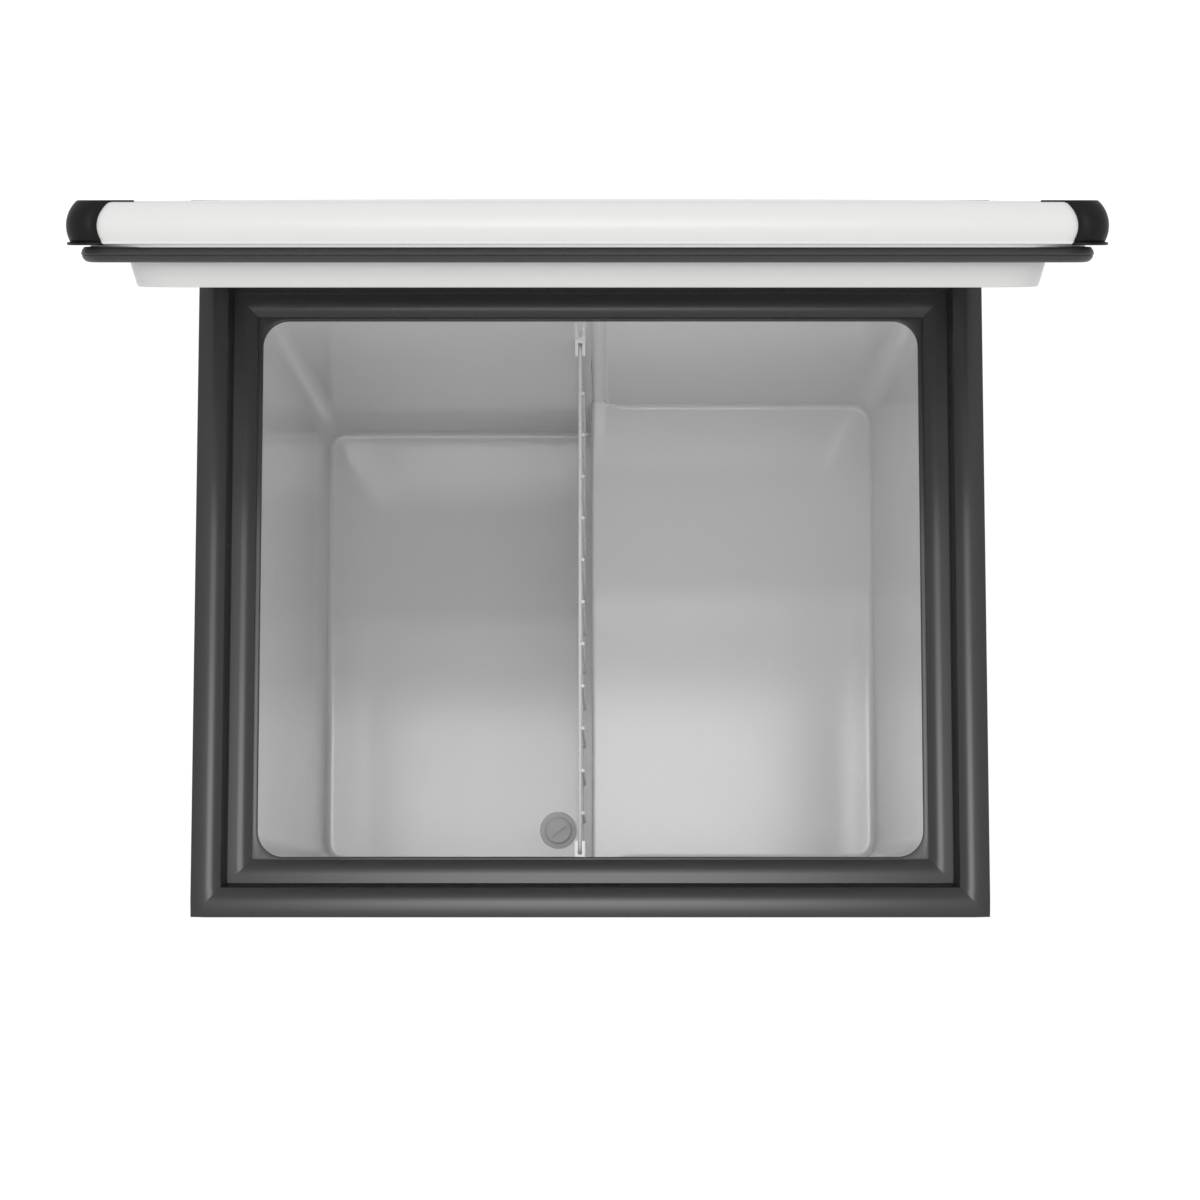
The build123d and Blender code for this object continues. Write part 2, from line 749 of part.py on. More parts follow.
def wire_divider():
    """Welded wire screen: a frame wire with its uprights on the right side."""
    low, high = rim - divider_bottom, divider_z
    loop = Plane(origin=(divider_x, 0, (low + high) / 2), x_dir=(0, 1, 0), z_dir=(1, 0, 0))
    outline = (loop * RectangleRounded(2 * divider_half, high - low, divider_corner)).wire()
    screen = sweep(Plane(origin=outline @ 0, z_dir=outline % 0) * Circle(wire_radius), path=outline)
    side = divider_x + 2 * wire_radius - wire_weld
    for i in range(wire_count):
        y = wire_shift + (i - (wire_count - 1) / 2) * wire_pitch
        screen += rod((side, y, low - wire_radius), (side, y, high + wire_radius), wire_radius)
    return screen


def divider_clips():
    """Open-topped holders on the rear and front walls that carry the ends of the top wire."""
    clips = []
    room = wire_radius + gap
    left, right = divider_x - room, divider_x + room
    for s in (-1, 1):
        wall = opening_depth / 2 - 0.4
        reach = divider_half - 9
        seat = divider_z - room
        block = span(divider_x - 4, divider_x + 4, s * reach, s * wall, seat - 3, divider_z + 1)
        block -= span(left, right, s * (reach - 1), s * (divider_half + room), seat, divider_z + 5)
        block -= span(left, right, s * (reach + 3), s * (divider_half + room), seat - 10, seat + 1)
        clips.append(block)
    return clips


# ---------------------------------------------------------------- handles

def handle_z():
    return rim - handle_drop


def handle_bracket(side):
    """Back plate with two ears that hold the handle's ends."""
    z, half = handle_z(), handle_span / 2
    face = body_right
    plate = Box(handle_plate, handle_span + 44, 40)
    plate = fillet(plate.edges().filter_by(Axis.X), 8)
    plate = Pos(face + handle_plate / 2, 0, z) * plate
    for s in (-1, 1):
        y = s * (half + 12)
        ear = span(face, face + 15, y - 3.5, y + 3.5, z - 8, z + 8)
        ear = fillet(ear.edges().filter_by(Axis.Y).group_by(Axis.X)[-1], 6)
        plate += ear
        plate -= rod((face + 8.5, y - 10, z), (face + 8.5, y + 10, z), 3.5 + pin_clearance)
    return mirror(plate, Plane.YZ) if side < 0 else plate


def carry_handle(side):
    """Bail handle hanging flat from its two pivot ends."""
    z, half = handle_z(), handle_span / 2
    x = body_right + 8.5
    low = z - handle_length
    bail = rod((x, -half, low), (x, half, low), grip_radius)
    for s in (-1, 1):
        bail += rod((x, s * half, low), (x, s * half, z), 3.5)
        bail += Pos(x, s * half, low) * Sphere(grip_radius)
        bail += Pos(x, s * half, z) * Sphere(3.5)
        bail += rod((x, s * half, z), (x, s * (half + 15), z), 3.5)
    return mirror(bail, Plane.YZ) if side < 0 else bail


def handle_rivets():
    heads = []
    for side in (-1, 1):
        for y in (-handle_span / 2, handle_span / 2):
            x = side * (body_right + handle_plate)
            heads.append(screw(x, y * 0.6, handle_z() + 13, (side, 0, 0), 4, 1.2, 2, 6))
            heads.append(screw(x, y * 0.6, handle_z() - 13, (side, 0, 0), 4, 1.2, 2, 6))
    return heads


# ---------------------------------------------------------------- lid

def opened(shape):
    """Turn a lid piece from closed to its stored open angle."""
    return shape.rotate(Axis((0, hinge_y, hinge_z), (-1, 0, 0)), open_angle)


def lid_block(shrink, drop, edge):
    """Lid outline moved inwards by shrink and down from the cap tops by drop."""
    w, d = lid_width - 2 * shrink, lid_depth - 2 * shrink
    top = lid_z + lid_thickness - drop
    block = rounded_block(w, d, lid_corner - shrink, top, top - lid_z)
    if edge:
        block = fillet(block.edges().filter_by_position(Axis.Z, top - 0.01, top + 0.01), edge)
    return block


def lid_shell():
    inside = lid_block(cap_wall + lid_sheet, cap_rise + lid_sheet, 0)
    return lid_block(cap_wall, cap_rise, lid_edge) - inside


def lid_foam():
    """Foam of the lid and of its inner panel, poured as one piece."""
    return lid_block(cap_wall + lid_sheet, cap_rise + lid_sheet, 0) + plug_block(plug_wall)


def lid_corner_cap(sx, sy):
    """Cap over one lid corner: a short skirt round the edge and a wider web on top."""
    shell = lid_block(0, 0, lid_edge) - lid_block(cap_wall, cap_rise, lid_edge)
    far_x, far_y, top = sx * (lid_width / 2 + 5), sy * (lid_depth / 2 + 5), lid_z + lid_thickness
    near_x, near_y = lid_width / 2 - cap_reach, lid_depth / 2 - cap_reach
    web_x, web_y = lid_width / 2 - cap_web, lid_depth / 2 - cap_web
    keep = span(sx * near_x, far_x, sy * near_y, far_y, lid_z - 1, top + 1)
    keep += span(sx * web_x, far_x, sy * web_y, far_y, top - cap_rise, top + 1)
    return shell & keep


def lid_gasket():
    w, d = lid_width - 2 * gasket_inset, lid_depth - 2 * gasket_inset
    top = lid_z - strip_thickness
    ring = rounded_block(w, d, 10, top, gasket_thickness)
    ring = fillet(ring.edges().filter_by_position(Axis.Z, top - gasket_thickness - 0.01,
                                                  top - gasket_thickness + 0.01), 2.5)
    inner_w, inner_d = lid_width - 2 * plug_inset, lid_depth - 2 * plug_inset
    return ring - rounded_block(inner_w, inner_d, 8, top + 1, 40)


def plug_block(wall):
    """Raised centre of the inner panel, or the foam inside it when wall is the panel's wall."""
    top = lid_z if wall else lid_z - strip_thickness
    w, d = lid_width - 2 * plug_inset - 2.3 * wall, lid_depth - 2 * plug_inset - 2.3 * wall
    return rounded_block(w, d, 8 - wall, top, top - plug_end_z - wall, plug_draft)


def lid_inner_panel():
    """Panel with a flange against the lid shell and a raised centre that plugs the opening."""
    w, d = lid_width - 2 * gasket_inset, lid_depth - 2 * gasket_inset
    centre = plug_block(0)
    centre = fillet(centre.edges().filter_by_position(Axis.Z, plug_end_z - 0.01, plug_end_z + 0.01), 1.5)
    panel = centre + rounded_block(w, d, lid_corner - 4, lid_z, strip_thickness)
    return panel - plug_block(plug_wall)


# ---------------------------------------------------------------- hinges

def hinge_lid_leaf(x):
    """Leaf on the lid's rear edge with the middle knuckle."""
    rear = lid_depth / 2
    half = hinge_width / 2
    top = lid_z + lid_thickness - lid_edge
    leaf = span(x - half, x + half, rear - cap_wall, rear - cap_wall + hinge_plate, lid_z + 1, top)
    mid = half - knuckle - 0.5
    arm = span(x - mid, x + mid, rear - cap_wall, hinge_y, hinge_z + 1.5, hinge_z + hinge_barrel_radius)
    barrel = rod((x - mid, hinge_y, hinge_z), (x + mid, hinge_y, hinge_z), hinge_barrel_radius)
    bore = hinge_pin_radius + pin_clearance
    return leaf + arm + barrel - rod((x - half, hinge_y, hinge_z), (x + half, hinge_y, hinge_z), bore)


def hinge_cabinet_leaf(x):
    """Leaf screwed to the rear of the frame and cabinet, with two outer knuckles."""
    half = hinge_width / 2
    low = rim - hinge_drop
    leaf = span(x - half, x + half, half_d, half_d + hinge_plate, low, rim - 1)
    leaf += span(x - half, x + half, -body_front, half_d + hinge_plate, low, rim - skirt)
    for s in (-1, 1):
        x0, x1 = x + s * half, x + s * (half - knuckle)
        leaf += rod((min(x0, x1), hinge_y, hinge_z), (max(x0, x1), hinge_y, hinge_z), hinge_barrel_radius)
        leaf += span(x0, x1, half_d, hinge_y, rim - 8, rim - 1)
        leaf += span(x0, x1, hinge_y - 3, hinge_y + hinge_barrel_radius, rim - 8, hinge_z)
    start, end = x - half - 1, x + half + 1
    return leaf - rod((start, hinge_y, hinge_z), (end, hinge_y, hinge_z), hinge_pin_radius)


def hinge_pin(x):
    half = hinge_width / 2
    return rod((x - half, hinge_y, hinge_z), (x + half, hinge_y, hinge_z), hinge_pin_radius)


def cabinet_hinge_screws():
    y = half_d + hinge_plate
    return [screw(x + dx, y, z, (0, 1, 0), 3.6, 1.5, 1.6, 7)
            for x in (-hinge_x, hinge_x) for dx in (-10, 10) for z in (rim - 20, rim - hinge_drop + 12)]


def lid_hinge_screws():
    y = lid_depth / 2 - cap_wall + hinge_plate
    return [screw(x + dx, y, lid_z + 14, (0, 1, 0), 2.6, 1.0, 1.3, 6)
            for x in (-hinge_x, hinge_x) for dx in (-13, 13)]


def drill(shape, screws):
    """Clear the holes that screws or rivets pass through."""
    for item in screws:
        shape = shape - item
    return shape


def build():
    rivets = handle_rivets()
    vent_fixings = vent_screws()
    leaf_screws = cabinet_hinge_screws()
    lid_screws = lid_hinge_screws()
    feet_fixings = foot_screws()
    frame = drill(top_frame(), leaf_screws)
    write("top_frame", frame)
    write("inner_liner", inner_liner())
    wrapper = drill(outer_wrapper(), rivets + vent_fixings + leaf_screws)
    write("outer_wrapper", wrapper)
    write("bottom_tray", bottom_tray())
    foam = drill(insulation(), rivets + leaf_screws + feet_fixings)
    write("insulation_foam", foam)
    write("evaporator_sleeve", evaporator())
    write("bay_wall", bay_wall())
    write("feet", [foot(x, y) for x, y in foot_places()])
    write("foot_screws", feet_fixings)
    write("base_guards", [corner_guard(sx, sy) for sx in (-1, 1) for sy in (-1, 1)])
    for end, sy in (("front", -1), ("rear", 1)):
        for side, sx in (("left", -1), ("right", 1)):
            write("lid_cap_" + end + "_" + side, opened(lid_corner_cap(sx, sy)))
    write("side_vent_grille", drill(side_vent(), vent_fixings))
    write("rear_vent_grille", drill(rear_vent(), vent_fixings))
    write("vent_screws", vent_fixings)
    write("control_bezel", control_bezel())
    write("display_window", display_window())
    write("panel_board", panel_board())
    for i, name in enumerate(("power", "minus", "plus")):
        write("button_" + name, control_button(i))
    write("inlet_plate", inlet_plate())
    write("mains_inlet", socket_shell(mains_y))
    write("battery_inlet", socket_shell(battery_y))
    write("fuse_cap", fuse_cap())
    write("compressor_shell", compressor_shell())
    write("compressor_base", compressor_base())
    write("compressor_grommets", compressor_grommets())
    write("compressor_bolts", compressor_bolts())
    write("control_module", control_module())
    write("condenser", condenser())
    write("fan_shroud", fan_shroud())
    write("fan_rotor", fan_rotor())
    write("filter_drier", filter_drier())
    write("liquid_pipe", liquid_pipe())
    write("discharge_pipe", discharge_pipe())
    write("suction_pipe", suction_pipe())
    write("drain_seat", drain_seat())
    write("drain_plug", drain_plug())
    write("drain_plug_seal", drain_seal())
    write("wire_divider", wire_divider())
    write("divider_clips", divider_clips())
    for side, name in ((-1, "left"), (1, "right")):
        write("handle_bracket_" + name, drill(handle_bracket(side), rivets))
        write("carry_handle_" + name, carry_handle(side))
        x = side * hinge_x
        write("hinge_cabinet_leaf_" + name, drill(hinge_cabinet_leaf(x), leaf_screws))
        write("hinge_lid_leaf_" + name, opened(drill(hinge_lid_leaf(x), lid_screws)))
    write("hinge_pins", [hinge_pin(x) for x in (-hinge_x, hinge_x)])
    write("handle_rivets", rivets)
    write("hinge_screws_cabinet", leaf_screws)
    write("hinge_screws_lid", [opened(s) for s in lid_screws])
    write("lid_shell", opened(drill(lid_shell(), lid_screws)))
    write("lid_foam", opened(drill(lid_foam(), lid_screws)))
    write("lid_inner_panel", opened(lid_inner_panel()))
    write("lid_gasket", opened(lid_gasket()))


build()
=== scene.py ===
import json
import math

import bmesh
import bpy
import numpy as np
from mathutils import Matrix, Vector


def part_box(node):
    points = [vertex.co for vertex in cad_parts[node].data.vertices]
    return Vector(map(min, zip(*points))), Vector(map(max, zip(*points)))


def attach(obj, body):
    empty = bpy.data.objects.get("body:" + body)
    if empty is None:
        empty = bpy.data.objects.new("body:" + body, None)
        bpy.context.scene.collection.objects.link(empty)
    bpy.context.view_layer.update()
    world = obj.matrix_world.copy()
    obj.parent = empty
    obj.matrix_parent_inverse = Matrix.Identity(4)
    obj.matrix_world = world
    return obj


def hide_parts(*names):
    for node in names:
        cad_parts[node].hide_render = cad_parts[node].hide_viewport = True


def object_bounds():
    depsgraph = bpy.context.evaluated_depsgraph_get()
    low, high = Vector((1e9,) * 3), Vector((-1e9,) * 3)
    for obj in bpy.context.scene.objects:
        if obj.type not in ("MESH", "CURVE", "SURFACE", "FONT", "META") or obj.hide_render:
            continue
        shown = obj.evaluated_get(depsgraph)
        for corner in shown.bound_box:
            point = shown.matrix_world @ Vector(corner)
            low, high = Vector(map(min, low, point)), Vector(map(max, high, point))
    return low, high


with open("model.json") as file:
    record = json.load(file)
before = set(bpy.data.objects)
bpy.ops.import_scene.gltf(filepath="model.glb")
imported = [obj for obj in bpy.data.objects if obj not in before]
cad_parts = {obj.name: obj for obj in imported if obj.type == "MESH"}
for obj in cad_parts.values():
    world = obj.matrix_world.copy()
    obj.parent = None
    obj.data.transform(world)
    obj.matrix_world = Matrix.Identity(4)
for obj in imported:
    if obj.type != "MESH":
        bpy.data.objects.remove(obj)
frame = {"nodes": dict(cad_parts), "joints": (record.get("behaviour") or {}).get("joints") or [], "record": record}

cadBox = [list(corner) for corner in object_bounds()]
mm = 0.001

# Places that everything else is worked out from
frameLow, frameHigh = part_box("top_frame")
linerLow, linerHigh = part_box("inner_liner")
rimZ = frameHigh.z
lidHinge = next(joint for joint in frame["joints"] if joint["name"] == "lid_hinge")
hingeY, hingeZ = lidHinge["pos_m"][1:]
slotOfNode = {part["node"]: part["material_slot"] for part in frame["record"]["subparts"]}


# Colours are written as sRGB hex and turned to linear here
def hexColour(text):
    value = np.array([int(text[i:i + 2], 16) for i in (1, 3, 5)]) / 255
    linear = np.where(value <= 0.04045, value / 12.92, ((value + 0.055) / 1.055) ** 2.4)
    return (*linear.tolist(), 1.0)


# Adds one node, sets its properties and fills or links its sockets
def addNode(tree, kind, sockets=None, **settings):
    node = tree.nodes.new(kind)
    for name, value in settings.items():
        setattr(node, name, value)
    for name, value in (sockets or {}).items():
        if isinstance(value, bpy.types.NodeSocket):
            tree.links.new(value, node.inputs[name])
        else:
            node.inputs[name].default_value = value
    return node


# Finishes: what each real material is, and its pattern sizes in millimetres
# mottle is the slow colour drift, grain and depth the surface texture, and stretch draws the grain out
finishes = {
    # ABS moulded in a spark-eroded tool: even satin with a very fine grain
    "sparkGrainAbsCharcoal": dict(
        colour="#2b2b2c", second="#272728", mottle=60, rough=(0.21, 0.26), grain=0.5, depth=0.004),
    # Polystyrene sheet drawn over a mould: smooth, a little wavy, soft gloss
    "vacuumFormedPolystyreneGrey": dict(
        colour="#e6e6e6", second="#e3e3e3", mottle=90, rough=(0.10, 0.13), grain=14, depth=0.01),
    # Steel sheet with baked polyester powder: slight orange peel
    "powderCoatedSteelWhite": dict(
        colour="#eeeeec", second="#e9e9e7", mottle=120, rough=(0.28, 0.34), grain=2.2, depth=0.02),
    # Glossy moulded ABS
    "polishedMouldAbsWhite": dict(
        colour="#e3e3e2", second="#e1e1e0", mottle=80, rough=(0.28, 0.31), grain=6, depth=0.002,
        specular=0.35),
    # Black ABS from an etched tool
    "etchedMouldAbsBlack": dict(
        colour="#121213", second="#0f0f10", mottle=25, rough=(0.42, 0.50), grain=0.6, depth=0.02,
        specular=0.2),
    # Extruded EPDM seal: matt, faint drag lines from the die
    "extrudedEpdmSeal": dict(
        colour="#323233", second="#2b2b2c", mottle=18, rough=(0.40, 0.48), grain=1.2, depth=0.01),
    # Moulded natural rubber
    "mouldedRubberBlack": dict(
        colour="#262627", second="#202021", mottle=12, rough=(0.62, 0.72), grain=0.8, depth=0.04),
    # Poured polyurethane foam: open cells on the skin
    "pouredPolyurethaneFoam": dict(
        colour="#d9c68c", second="#cbb472", mottle=14, rough=(0.85, 0.95), grain=1.6, depth=0.25),
    # Zinc plate on rolled steel: drawn streaks
    "zincPlatedSteel": dict(
        colour="#b9bcc0", second="#a4a7ab", mottle=8, rough=(0.30, 0.42), grain=0.6, depth=0.006,
        metallic=1.0, stretch=(12, 1, 1)),
    # Steel wire dipped in white polyethylene
    "dippedPolyethyleneWire": dict(
        colour="#dededd", second="#d6d6d5", mottle=20, rough=(0.26, 0.32), grain=2.5, depth=0.02),
    # Rolled aluminium sheet
    "rolledAluminium": dict(
        colour="#c9cbcd", second="#bdbfc2", mottle=20, rough=(0.28, 0.38), grain=0.5, depth=0.006,
        metallic=1.0, stretch=(1, 1, 14)),
    # Drawn copper tube, slightly tarnished
    "drawnCopper": dict(
        colour="#c27a55", second="#9d5f45", mottle=10, rough=(0.24, 0.36), grain=0.8, depth=0.005,
        metallic=1.0),
    # Stoved enamel on pressed steel
    "stovedEnamelBlack": dict(
        colour="#1c1c1d", second="#242425", mottle=30, rough=(0.22, 0.30), grain=2.0, depth=0.02),
    # Smoked acrylic, cast and polished
    "smokedAcrylic": dict(
        colour="#0d0e10", second="#101114", mottle=40, rough=(0.06, 0.09), grain=20, depth=0.004),
    # Glass-fibre board with solder mask
    "solderMaskBoard": dict(
        colour="#1f5a38", second="#1a4f31", mottle=6, rough=(0.34, 0.42), grain=0.7, depth=0.01),
    # Stainless steel strip, glass-bead blasted
    "beadBlastedStainless": dict(
        colour="#8d8f91", second="#838587", mottle=10, rough=(0.40, 0.48), grain=0.4, depth=0.012,
        metallic=1.0),
    # Grey ABS from an etched tool
    "etchedMouldAbsGrey": dict(
        colour="#e0e1e2", second="#dadbdc", mottle=20, rough=(0.30, 0.36), grain=0.6, depth=0.008),
}

finishOfSlot = {
    "charcoal_frame": "sparkGrainAbsCharcoal",
    "liner_grey": "vacuumFormedPolystyreneGrey",
    "white_steel": "powderCoatedSteelWhite",
    "white_plastic": "polishedMouldAbsWhite",
    "black_plastic": "etchedMouldAbsBlack",
    "gasket_rubber": "extrudedEpdmSeal",
    "black_rubber": "mouldedRubberBlack",
    "foam": "pouredPolyurethaneFoam",
    "zinc_steel": "zincPlatedSteel",
    "white_wire": "dippedPolyethyleneWire",
    "aluminium": "rolledAluminium",
    "copper": "drawnCopper",
    "black_paint": "stovedEnamelBlack",
    "dark_window": "smokedAcrylic",
    "board_green": "solderMaskBoard",
    "hinge_steel": "beadBlastedStainless",
    "drain_grey": "etchedMouldAbsGrey",
}


# Colour drifts between two tones, roughness follows a finer noise, and grain lifts the normal
def makeFinish(name, colour, second, mottle, rough, grain, depth,
               metallic=0.0, specular=0.5, stretch=(1, 1, 1)):
    material = bpy.data.materials.new(name)
    material.use_nodes = True
    tree = material.node_tree
    tree.nodes.clear()
    place = addNode(tree, "ShaderNodeTexCoord").outputs["Object"]
    drawn = addNode(tree, "ShaderNodeMapping", {"Vector": place, "Scale": stretch})
    drift = addNode(tree, "ShaderNodeTexNoise",
                    {"Vector": place, "Scale": 1 / (mottle * mm), "Detail": 3.0})
    texture = addNode(tree, "ShaderNodeTexNoise",
                      {"Vector": drawn.outputs["Vector"], "Scale": 1 / (grain * mm), "Detail": 4.0})
    tone = addNode(tree, "ShaderNodeMix", {
        0: drift.outputs["Fac"], 6: hexColour(colour), 7: hexColour(second)}, data_type="RGBA")
    spread = addNode(tree, "ShaderNodeMapRange", {
        "Value": texture.outputs["Fac"], "From Min": 0.3, "From Max": 0.7,
        "To Min": rough[0], "To Max": rough[1]})
    relief = addNode(tree, "ShaderNodeBump", {
        "Height": texture.outputs["Fac"], "Strength": 0.6, "Distance": depth * mm})
    shader = addNode(tree, "ShaderNodeBsdfPrincipled", {
        "Base Color": tone.outputs[2], "Roughness": spread.outputs["Result"],
        "Normal": relief.outputs["Normal"], "Metallic": metallic, "Specular IOR Level": specular})
    addNode(tree, "ShaderNodeOutputMaterial", {"Surface": shader.outputs["BSDF"]})
    return material


materials = {name: makeFinish(name, **values) for name, values in finishes.items()}
print("finishes made:", len(materials))


# Faces of a grid of points, rows by columns, closed along either way where asked
def gridFaces(rows, columns, closeRows=False, closeColumns=False):
    i = np.arange(rows if closeRows else rows - 1)[:, None]
    j = np.arange(columns if closeColumns else columns - 1)[None, :]
    nextI, nextJ = (i + 1) % rows, (j + 1) % columns
    corners = [i * columns + j, i * columns + nextJ, nextI * columns + nextJ, nextI * columns + j]
    return np.stack(np.broadcast_arrays(*corners), axis=-1).reshape(-1, 4)


# A profile carried round a rectangle. Each profile point has a half width, half depth, height and
# corner power p: its ring is the shared corner centre plus the direction (cos a, sin a), divided by its
# p-norm, times what is left over. A power of 2 gives a round corner and a large one a square corner
def ringSurface(halfWidth, halfDepth, height, power, centre, steps=17):
    angle = np.linspace(0, math.pi / 2, steps) + np.arange(4)[:, None] * math.pi / 2
    way = np.stack([np.cos(angle), np.sin(angle)], axis=-1)[None]
    p = np.asarray(power, float)[:, None, None]
    norm = (np.abs(way) ** p[..., None]).sum(axis=-1) ** (1 / p)
    side = np.array([[1, 1], [-1, 1], [-1, -1], [1, -1]])[None, :, None, :]
    reach = np.stack([halfWidth - centre[0], halfDepth - centre[1]], axis=-1)[:, None, None, :]
    flat = side * np.array(centre) + way / norm[..., None] * reach
    flat = flat.reshape(len(height), -1, 2)
    return np.dstack([flat, np.broadcast_to(np.asarray(height)[:, None], flat.shape[:2])])


# Points of an arc in a section, from angle a to b in degrees
def sectionArc(x, z, radius, a, b, steps=7):
    angle = np.radians(np.linspace(a, b, steps))
    return [(x + radius * c, z + radius * s) for c, s in zip(np.cos(angle), np.sin(angle))]


# Puts surfaces into one mesh; each surface is points and faces
def meshPiece(name, surfaces, finish, crease=32):
    points, faces, start = [], [], 0
    for surface, quads in surfaces:
        flat = np.asarray(surface, float).reshape(-1, 3)
        points.append(flat)
        faces.append(np.asarray(quads) + start)
        start += len(flat)
    mesh = bpy.data.meshes.new(name)
    allFaces = [face.tolist() for group in faces for face in group]
    mesh.from_pydata((np.concatenate(points) * mm).tolist(), [], allFaces)
    weldMesh(mesh)
    mesh.polygons.foreach_set("use_smooth", np.ones(len(mesh.polygons), bool))
    mesh.set_sharp_from_angle(angle=math.radians(crease))
    mesh.materials.append(materials[finish])
    piece = bpy.data.objects.new(name, mesh)
    bpy.context.scene.collection.objects.link(piece)
    return piece


# Joins points that meet and drops the slivers left at poles and square corners
def weldMesh(mesh):
    body = bmesh.new()
    body.from_mesh(mesh)
    bmesh.ops.remove_doubles(body, verts=body.verts, dist=0.02 * mm)
    bmesh.ops.dissolve_degenerate(body, edges=body.edges, dist=0.01 * mm)
    bmesh.ops.recalc_face_normals(body, faces=body.faces)
    body.to_mesh(mesh)
    body.free()


# Rim frame: two bands that fall towards the inside, joined at mitred corners
rimFrame = dict(
    bandFlat=11, bandEdge=22.3, bandFall=2.6, stepFoot=25.2, stepDrop=16,
    lowerFlat=32, lowerEdge=43.5, lowerFall=2.6, lipDrop=22, edgeRound=1.2,
    skirt=34, skirtWall=3, ribInset=19, underside=25.5, openingRadius=20, flange=14,
    squareCorner=160.0, mitreWidth=0.3)


# Height falls with the square of the way across, from flat to the inner edge
def fallingBand(start, end, level, fall, steps=9):
    t = np.linspace(0, 1, steps)
    return list(zip(start + (end - start) * t, level - fall * t ** 2))


# Section from the skirt's foot up over both bands, down the opening's lip and back underneath, given as
# distances in from the outer edge and below the rim, and carried round with square or round corners
def makeRimFrame():
    f = rimFrame
    halfWidth, halfDepth = frameHigh.x / mm, (frameHigh.y - frameLow.y) / 2 / mm
    openWidth = (linerHigh.x - linerLow.x) / 2 / mm - f["flange"]
    openDepth = (linerHigh.y - linerLow.y) / 2 / mm - f["flange"]
    top = rimZ / mm
    outer = [(f["skirtWall"], -f["skirt"]), (0.6, -f["skirt"]), (0, -f["skirt"] + 0.6)]
    outer += sectionArc(f["edgeRound"], -f["edgeRound"], f["edgeRound"], 180, 90, 5)
    outer += fallingBand(f["bandFlat"], f["bandEdge"] - 0.2, 0, f["bandFall"])
    outer += [(f["bandEdge"], -f["bandFall"] - 0.3), (f["stepFoot"] - 0.3, -f["stepDrop"] + 1)]
    outer += [(f["stepFoot"] + 0.5, -f["stepDrop"])]
    outer += fallingBand(f["lowerFlat"], f["lowerEdge"] - 0.2, -f["stepDrop"], f["lowerFall"])
    outer += [(f["lowerEdge"], -f["stepDrop"] - f["lowerFall"] - 0.3), (f["lowerEdge"], -f["lipDrop"])]
    outer = np.array(outer)
    under = np.array([(f["ribInset"], -f["underside"]), (f["ribInset"], -f["skirtWall"]),
                      (f["skirtWall"], -f["skirtWall"])])
    lip = np.array([(0.7, -f["lipDrop"]), (0.2, -f["lipDrop"] - 0.2), (0, -f["lipDrop"] - 0.7),
                    (0, -f["underside"])])
    width = np.concatenate([halfWidth - outer[:, 0], openWidth + lip[:, 0], halfWidth - under[:, 0]])
    depth = np.concatenate([halfDepth - outer[:, 0], openDepth + lip[:, 0], halfDepth - under[:, 0]])
    height = top + np.concatenate([outer[:, 1], lip[:, 1], under[:, 1]])
    power = np.full(len(height), f["squareCorner"])
    power[len(outer):len(outer) + len(lip)] = 2.0
    centre = (openWidth - f["openingRadius"], openDepth - f["openingRadius"])
    rings = ringSurface(width, depth, height, power, centre)
    middle = np.array([0, (frameHigh.y + frameLow.y) / 2 / mm, 0])
    piece = meshPiece("rimFrame", [(rings + middle, gridFaces(len(rings), rings.shape[1], True, True))],
                      "sparkGrainAbsCharcoal", crease=30)
    markMitres(piece, halfWidth * mm, halfDepth * mm, middle[1] * mm)
    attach(piece, "cabinet")
    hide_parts("top_frame")


# Edges that run along a corner's diagonal stay sharp, so that the two sides meet in a clean mitre
def markMitres(piece, halfWidth, halfDepth, middleY):
    mesh = piece.data
    place = np.empty(len(mesh.vertices) * 3)
    mesh.vertices.foreach_get("co", place)
    place = np.abs(place.reshape(-1, 3) - (0, middleY, 0))
    onMitre = np.abs((halfWidth - place[:, 0]) - (halfDepth - place[:, 1])) < rimFrame["mitreWidth"] * mm
    ends = np.empty(len(mesh.edges) * 2, int)
    mesh.edges.foreach_get("vertices", ends)
    sharp = mesh.attributes.get("sharp_edge") or mesh.attributes.new("sharp_edge", "BOOLEAN", "EDGE")
    already = np.empty(len(mesh.edges), bool)
    sharp.data.foreach_get("value", already)
    sharp.data.foreach_set("value", already | onMitre[ends.reshape(-1, 2)].all(axis=1))


makeRimFrame()
print("rim frame made")


# Liner tub: a deep floor on the left and a raised one on the right over the compressor
linerTub = dict(
    wall=2.5, flange=14, radius=20, draft=0.23, raisedAbove=154, floorFillet=5, stepRound=3,
    grooveWidth=12, grooveDepth=3, drainHole=11, filletFrom=14, filletOver=16, filletFromLeft=2,
    raisedPole=6.0, stepColumns=25)


